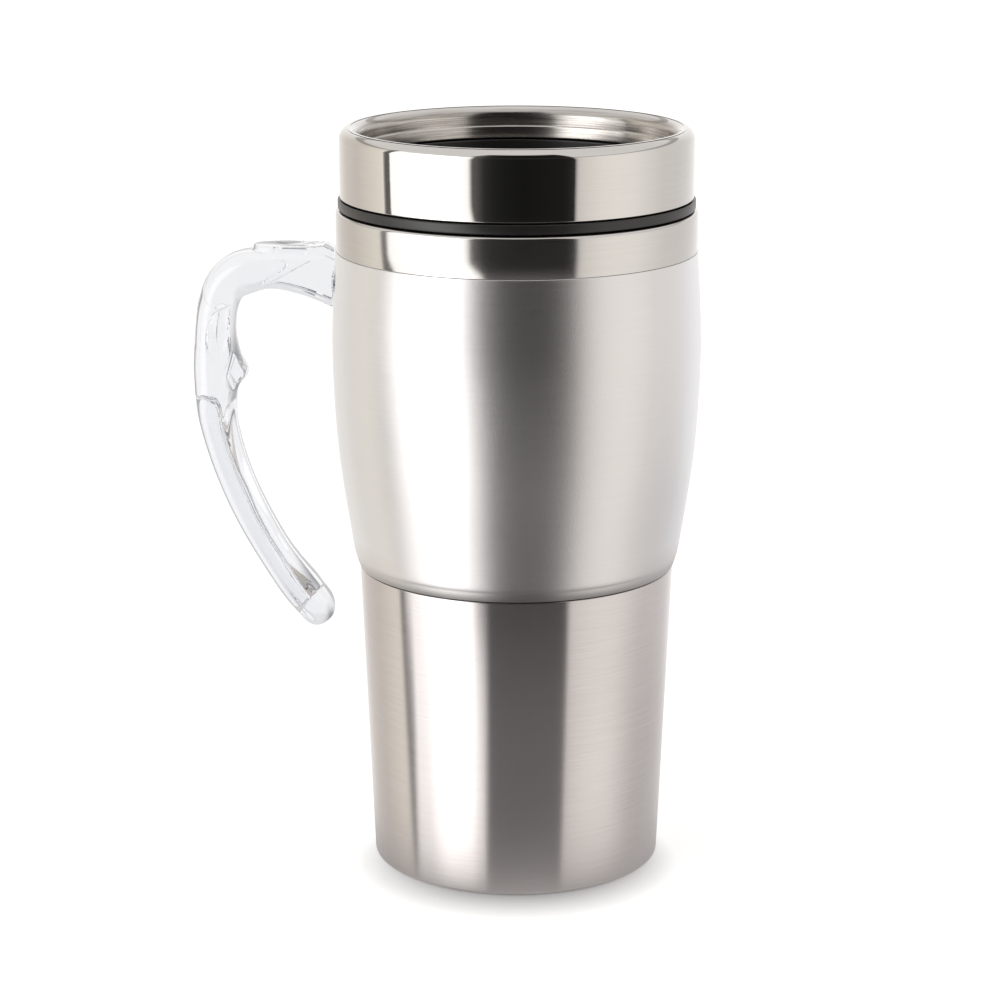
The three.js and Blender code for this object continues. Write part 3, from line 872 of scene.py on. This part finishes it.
def make_lid_body():
    """Black moulding: plug skirt with the gasket's groove, flange band, upstand and recess, with
    the drink hole, the vent, the small wall that stops the slider, and its rails."""
    skirt_in, plug, groove, recess, upstand = 34.1, 36.9, 35.6, 35.0, 39.9
    roof_z, foot_z, groove_z, upstand_z = 160.0, 148, (150.2, 153.8), 167.2
    profile = arc_corners([
        (0, roof_z), (skirt_in, roof_z, 0.8), (skirt_in, foot_z, 0.2), (plug, foot_z, 0.6),
        (plug, groove_z[0], 0.15), (groove, groove_z[0], 0.15),
        (groove, groove_z[1], 0.15), (plug, groove_z[1], 0.15),
        (plug, RIM_Z + GAP, 0.2), (BAND_R, RIM_Z + GAP, 0.5), (BAND_R, BAND_TOP_Z, 0.3),
        (upstand, BAND_TOP_Z, 0.2), (upstand, upstand_z, 0.4), (recess, upstand_z, 0.4),
        (recess, FLOOR_Z, 1.2), (0, FLOOR_Z),
    ], 5)
    body = lathe("lid_body_fine", profile)
    floor_under = FLOOR_Z - 0.5
    posts = tubes(TUBE_WALL, TUBE_FOOT_Z, floor_under)
    posts.append(slab("tool", rounded_rectangle(-12, 12, 4.2, 5.7, 0.6), floor_under, 164, 0.3))
    posts += [make_rail(side) for side in (-1, 1)]
    boolean(body, posts, "UNION")
    boolean(body, tubes(0.0, TUBE_FOOT_Z - 2, 165), "DIFFERENCE")
    place(body, "lid", "black_plastic", "lid_body")


def make_rail(side):
    """One of the two rails that hold the slider down: an upright with an overhang."""
    plate_top = box_mm("slider_plate")[0].z + SLIDER_TOP
    foot, top = FLOOR_Z - 0.5, plate_top + 1.2
    inner, outer, overhang = 10.35, 12.0, 9.1
    section = [
        (inner, foot), (outer, foot), (outer, top), (overhang, top),
        (overhang, plate_top + GAP), (inner, plate_top + GAP),
    ]
    y0, y1 = -32.0, 3.5
    count = len(section)
    vertices = [(x * side, y, z) for y in (y0, y1) for x, z in section]
    faces = [tuple(range(count)), tuple(range(count, 2 * count))[::-1]]
    faces += [(k, (k + 1) % count, count + (k + 1) % count, count + k) for k in range(count)]
    rail = mesh_object("tool", vertices, faces)
    bm = bmesh.new()
    bm.from_mesh(rail.data)
    upper = [e for e in bm.edges if min(v.co.z for v in e.verts) > (plate_top + 1.0) * MM]
    bmesh.ops.bevel(bm, geom=upper, offset=0.35 * MM, segments=3, profile=0.5, affect="EDGES")
    bm.to_mesh(rail.data)
    bm.free()
    return rail


def make_under_plate():
    """Shallow dish that closes the lid from below, with room for the two tubes."""
    rim, rim_in, low, floor, rim_z = 33.8, 32.6, 148, 149.4, 152
    profile = arc_corners([
        (0, low), (rim, low, 0.4), (rim, rim_z, 0.3),
        (rim_in, rim_z, 0.3), (rim_in, floor, 0.5), (0, floor),
    ], 4)
    plate = lathe("lid_under_plate_fine", profile)
    boolean(plate, tubes(TUBE_WALL + GAP, 146, 151), "DIFFERENCE")
    place(plate, "lid", "black_plastic", "lid_under_plate")


def make_gasket():
    """Silicone ring with two lips, in the plug's groove."""
    inner, root, lip = 35.9, 36.5, box_mm("lid_gasket")[1].x
    low, high = 150.5, 153.5
    profile = arc_corners([
        (inner, low, 0.1), (root, low, 0.1), (lip, 151.15, 0.12), (lip, 151.5, 0.12),
        (root, 151.95, 0.2), (lip, 152.75, 0.12), (lip, 153.1, 0.12), (root, high, 0.1),
        (inner, high, 0.1),
    ], 4)
    place(lathe("lid_gasket_fine", profile), "lid", "silicone", "lid_gasket")


def make_slider():
    """Sliding shutter on two runners, with a thumb tab of three ribs."""
    low, high = box_mm("slider_plate")
    under = low.z + 1.3
    top = low.z + SLIDER_TOP
    runner = 1.7
    outline = rounded_rectangle(low.x, high.x, low.y, high.y, 1.6)
    plate = slab("slider_plate_fine", outline, under, top, 0.3)
    parts = []
    for x0, x1 in ((low.x + 0.1, low.x + runner), (high.x - runner, high.x - 0.1)):
        strip = rounded_rectangle(x0, x1, low.y + 1, high.y - 1, 0.4)
        parts.append(slab("tool", strip, low.z, under + 0.5, 0.15))
    for k in range(3):
        y = high.y - 3.2 - k * 2.6
        rib = rounded_rectangle(-7, 7, y - 0.75, y + 0.75, 0.7)
        parts.append(slab("tool", rib, top - 0.6, high.z - k * 0.9, 0.5))
    boolean(plate, parts, "UNION")
    place(plate, "slider", "black_plastic", "slider_plate")


def make_slider_seal():
    """Silicone pad under the shutter that covers the drink hole."""
    low, high = box_mm("slider_seal")
    outline = rounded_rectangle(low.x, high.x, low.y, high.y, 5.6, 10)
    seal = slab("slider_seal_fine", outline, low.z, high.z, 0.25)
    place(seal, "slider", "silicone", "slider_seal")


# ---- stage: camera, light, floor ----
def make_camera():
    """A long lens that looks slightly down on the mug, from a little left of straight in front."""
    data = bpy.data.cameras.new("camera")
    data.lens = 109.61
    data.sensor_width = 36.0
    data.clip_start = 0.01
    data.clip_end = 100.0
    camera = new_object("camera", data)
    camera.location = (-3.883 * MM, -697.75 * MM, 265.265 * MM)
    looks_down = 0.251
    camera.rotation_euler = (math.pi / 2 - looks_down, 0, 0)
    bpy.context.scene.camera = camera


class Sky:
    """Short calls for the world's nodes."""

    def __init__(self, tree):
        self.tree = tree

    def node(self, kind, inputs=(), **settings):
        node = self.tree.nodes.new(kind)
        for key, value in settings.items():
            setattr(node, key, value)
        for key, value in dict(inputs).items():
            self.plug(value, node.inputs[key])
        return node

    def plug(self, value, socket):
        if isinstance(value, bpy.types.NodeSocket):
            self.tree.links.new(value, socket)
        else:
            socket.default_value = value

    def math(self, operation, a, b=0.0):
        return self.node("ShaderNodeMath", {0: a, 1: b}, operation=operation).outputs[0]

    def add(self, a, b):
        return self.math("ADD", a, b)

    def minus(self, a, b):
        return self.math("SUBTRACT", a, b)

    def times(self, a, b, c=None):
        product = self.math("MULTIPLY", a, b)
        return product if c is None else self.math("MULTIPLY", product, c)

    def ease(self, value, low, high):
        """0 below low and 1 above high, or the other way round where low is the larger."""
        ends = {"Value": value, "From Min": min(low, high), "From Max": max(low, high)}
        if low > high:
            ends.update({"To Min": 1.0, "To Max": 0.0})
        return self.node("ShaderNodeMapRange", ends, interpolation_type="SMOOTHSTEP").outputs["Result"]

    def mix(self, factor, a, b):
        return self.node("ShaderNodeMix", {"Factor": factor, 6: a, 7: b}, data_type="RGBA").outputs[2]

    def ramp(self, value, stops):
        node = self.node("ShaderNodeValToRGB", {0: value})
        elements = node.color_ramp.elements
        while len(elements) < len(stops):
            elements.new(1.0)
        for element, (at, colour) in zip(elements, stops):
            element.position = at
            element.color = (*colour, 1)
        return node.outputs[0]


WALLS = [  # azimuth in degrees, colour of what stands there
    (-180, (0.34, 0.335, 0.33)),  # back wall
    (-163, (0.30, 0.29, 0.28)),
    (-143, (0.250, 0.236, 0.221)),
    (-125, (0.240, 0.226, 0.208)),
    (-107, (0.294, 0.279, 0.252)),
    (-97, (0.325, 0.31, 0.28)),
    (-95, (0.36, 0.35, 0.33)),
    (-94, (0.045, 0.043, 0.041)),  # dark edge left of the softbox
    (-88, (0.055, 0.052, 0.050)),
    (-83, (0.12, 0.115, 0.11)),
    (-40, (0.06, 0.055, 0.05)),  # right of the softbox, then the dark card
    (-27, (0.042, 0.040, 0.040)),
    (-21, (0.0117, 0.0115, 0.0115)),
    (-15, (0.0065, 0.0065, 0.0065)),
    (-8, (0.0048, 0.0047, 0.0047)),
    (4, (0.0036, 0.0035, 0.0035)),
    (30, (0.0050, 0.0048, 0.0048)),
    (37, (0.0100, 0.0100, 0.0100)),
    (38.5, (0.262, 0.250, 0.240)),  # right wall, past the card's sharp edge
    (45, (0.294, 0.284, 0.272)),
    (56, (0.330, 0.320, 0.306)),
    (66, (0.340, 0.330, 0.316)),
    (80, (0.332, 0.322, 0.310)),
    (95, (0.296, 0.286, 0.277)),
    (107, (0.268, 0.258, 0.247)),
    (124, (0.258, 0.250, 0.246)),
    (140, (0.272, 0.266, 0.262)),
    (158, (0.313, 0.306, 0.300)),
    (180, (0.34, 0.335, 0.33)),
]
SOFTBOX_AZIMUTH = (-89.0, -30.0)  # its left and right side at the height of the mug's upper part
ROOM_LIGHT = 3.3
SOFTBOX_GLOW = [  # share of the way across, brightness
    (0.0, 0.48), (0.22, 0.52), (0.5, 0.95), (0.8, 0.85), (0.93, 0.50), (1.0, 0.42),
]


def studio_walls(sky, azimuth, rise, card):
    """The walls, paler at the foot of the card, duller low on the right, with a seam on top."""
    turn = sky.add(sky.math("DIVIDE", azimuth, 360), 0.5)
    walls = sky.ramp(turn, [((degrees + 180) / 360, colour) for degrees, colour in WALLS])
    low = sky.times(sky.ease(rise, -13, -23), sky.add(sky.ease(rise, -36, -27), 0.6))
    walls = sky.mix(sky.times(low, card, 0.115), walls, (0.33, 0.32, 0.32, 1))
    dull = sky.times(sky.ease(rise, -15, -20), sky.ease(azimuth, 70, 112), 0.3)
    walls = sky.mix(dull, walls, (0.05, 0.045, 0.045, 1))
    seam = sky.times(sky.ease(rise, 22, 24), sky.ease(rise, 31, 28), 0.5)
    return sky.mix(seam, walls, (0.02, 0.018, 0.015, 1))


def softbox(sky, azimuth, rise):
    """The softbox's colour, and how much of it is seen in a direction. Low down both its sides
    shift towards +X and then back again, and it is dimmer there."""
    left = sky.add(sky.times(sky.ease(rise, -11, -19), 5.5), SOFTBOX_AZIMUTH[0])
    left = sky.minus(left, sky.times(sky.ease(rise, -22, -26), 6.5))
    right = sky.add(sky.times(sky.ease(rise, -11, -19), 8.5), SOFTBOX_AZIMUTH[1])
    right = sky.minus(right, sky.times(sky.ease(rise, -22, -27), 4.0))
    across = sky.math("DIVIDE", sky.minus(azimuth, left), sky.minus(right, left))
    glow = sky.ramp(across, [(at, (g, g * 0.995, g * 0.985)) for at, g in SOFTBOX_GLOW])
    glow = sky.mix(sky.times(sky.ease(rise, -17, -25), 0.35), glow, (0.3, 0.29, 0.28, 1))
    wide = sky.times(sky.ease(across, -0.01, 0.01), sky.ease(across, 1.03, 0.97))
    high = sky.times(sky.ease(rise, -68, -60), sky.ease(rise, 38, 30))
    return glow, sky.times(wide, high)


def surroundings(sky, azimuth, rise):
    """Studio by direction, both angles in degrees: azimuth 0 faces -Y and grows towards +X.
    A white softbox stands to the left, a tall dark card in front, pale walls elsewhere, a pale
    ceiling above and a dim table top far below."""
    card = sky.times(sky.ease(azimuth, -36, -26), sky.ease(azimuth, 39, 37))
    walls = studio_walls(sky, azimuth, rise, card)
    glow, inside = softbox(sky, azimuth, rise)
    lit = sky.mix(inside, walls, glow)
    above_card = sky.add(sky.times(card, -30.0), rise)
    lit = sky.mix(sky.ease(above_card, 27, 36), lit, (0.275, 0.27, 0.265, 1))
    return sky.mix(sky.times(sky.ease(rise, -34, -56), 0.75), lit, (0.03, 0.028, 0.027, 1))


def through_glass(sky, azimuth, rise):
    """What rays that come out of the clear plastic see: white behind it, darker to the sides."""
    turn = sky.math("ABSOLUTE", azimuth)
    side = sky.times(sky.ease(turn, 158, 134), sky.ease(turn, 60, 84), 0.85)
    back = sky.times(sky.ease(turn, 66, 40), 0.55)
    above = sky.add(sky.times(sky.ease(rise, -4, 8), 0.14), sky.times(sky.ease(rise, 28, 55), 0.25))
    below = sky.times(sky.ease(rise, -48, -70), 0.3)
    dark = sky.math("MINIMUM", sky.add(sky.add(side, back), sky.add(above, below)), 0.8)
    return sky.mix(dark, (0.283, 0.284, 0.287, 1), (0.03, 0.032, 0.038, 1))


def make_world():
    """The studio lights the mug, plainer light shines through the clear plastic, and the camera
    sees white paper."""
    world = bpy.data.worlds.new("studio")
    bpy.context.scene.world = world
    world.use_nodes = True
    world.node_tree.nodes.clear()
    sky = Sky(world.node_tree)
    direction = sky.node("ShaderNodeTexCoord").outputs["Generated"]
    x, y, z = sky.node("ShaderNodeSeparateXYZ", {0: direction}).outputs
    azimuth = sky.math("DEGREES", sky.math("ARCTAN2", x, sky.times(y, -1.0)))
    rise = sky.math("DEGREES", sky.math("ARCSINE", z))
    path = sky.node("ShaderNodeLightPath").outputs
    around = surroundings(sky, azimuth, rise)
    colour = sky.mix(path["Is Transmission Ray"], around, through_glass(sky, azimuth, rise))
    room = sky.node("ShaderNodeBackground", {"Color": colour, "Strength": ROOM_LIGHT})
    paper = sky.node("ShaderNodeBackground", {"Color": (1, 1, 1, 1), "Strength": 1.0})
    shown = {0: path["Is Camera Ray"], 1: room.outputs[0], 2: paper.outputs[0]}
    either = sky.node("ShaderNodeMixShader", shown)
    sky.node("ShaderNodeOutputWorld", {"Surface": either.outputs[0]})


FLOOR_REACH = 20000.0  # half the side of the table top, far enough to have no edge in view
FLOOR_GLOW = 0.63
SHADOW_Y = -10.0  # middle of the contact shadow, which falls towards the camera
SHADOW_R = (23.0, 38.5)  # where it is darkest and where it has gone
NEAR_R = 100.0  # reach of the floor's reflection in the steel
NEAR_FADE = 0.93  # what is left of that reflection after each millimetre beyond the foot


def floor_material():
    """Pale table top, dimmer in the contact shadow round the mug's foot."""
    shader = Shader("floor", Roughness=0.9, Specular_IOR_Level=0.1)
    cloud = shader.noise((3, 3, 3))
    shader.set("Base Color", shader.blend(cloud, (0.6, 0.6, 0.6), (0.64, 0.64, 0.64)))
    shader.principled.inputs["Emission Color"].default_value = (1, 1, 1, 1)
    away = shader.distance_from(SHADOW_Y * MM)
    glow = shader.spread(away, 0.0, FLOOR_GLOW, SHADOW_R[0] * MM, SHADOW_R[1] * MM)
    shader.set("Emission Strength", glow)
    return shader.material


def floor_near_material():
    """What the steel reflects of the table top: a soft glow that fades away from the foot."""
    shader = Shader("floor_near", Roughness=1.0, Emission_Strength=0.5)
    dark = shader.blend(shader.noise((40, 40, 40)), (0.01, 0.01, 0.01), (0.02, 0.02, 0.02))
    glow = shader.blend(shader.noise((25, 25, 25)), (0.93, 0.9, 0.88), (1, 0.98, 0.96))
    shader.set("Base Color", dark)
    shader.set("Emission Color", glow)
    beyond = shader.math("SUBTRACT", shader.distance_from(), FOOT_R * MM)
    shader.set("Alpha", shader.math("POWER", NEAR_FADE, shader.math("DIVIDE", beyond, MM)))
    return shader.material


def make_floor():
    """The table top that the camera sees, and a disc just above it that only the steel mirrors."""
    reach = FLOOR_REACH
    corners = [(-reach, -reach, 0), (reach, -reach, 0), (reach, reach, 0), (-reach, reach, 0)]
    floor = mesh_object("floor", corners, [(0, 1, 2, 3)])
    floor.data.materials.append(floor_material())
    floor.visible_glossy = False
    floor.visible_transmission = False
    turns = np.linspace(0, 2 * math.pi, 96, endpoint=False)
    rim = [(NEAR_R * math.cos(t), NEAR_R * math.sin(t), 0.01) for t in turns]
    disc = mesh_object("floor_near", rim, [tuple(range(len(rim)))])
    disc.data.materials.append(floor_near_material())
    disc.visible_camera = False
    disc.visible_diffuse = False
    disc.visible_transmission = False
    disc.visible_shadow = False


make_camera()
make_world()
make_floor()
bpy.context.scene.view_settings.view_transform = "Standard"

make_base_shell()
make_barrel_shell()
make_collar_ring()
make_liner_cup()
make_small_rings()
make_handle()
make_handle_fixings()
make_lid_ring()
make_lid_body()
make_under_plate()
make_gasket()
make_slider()
make_slider_seal()
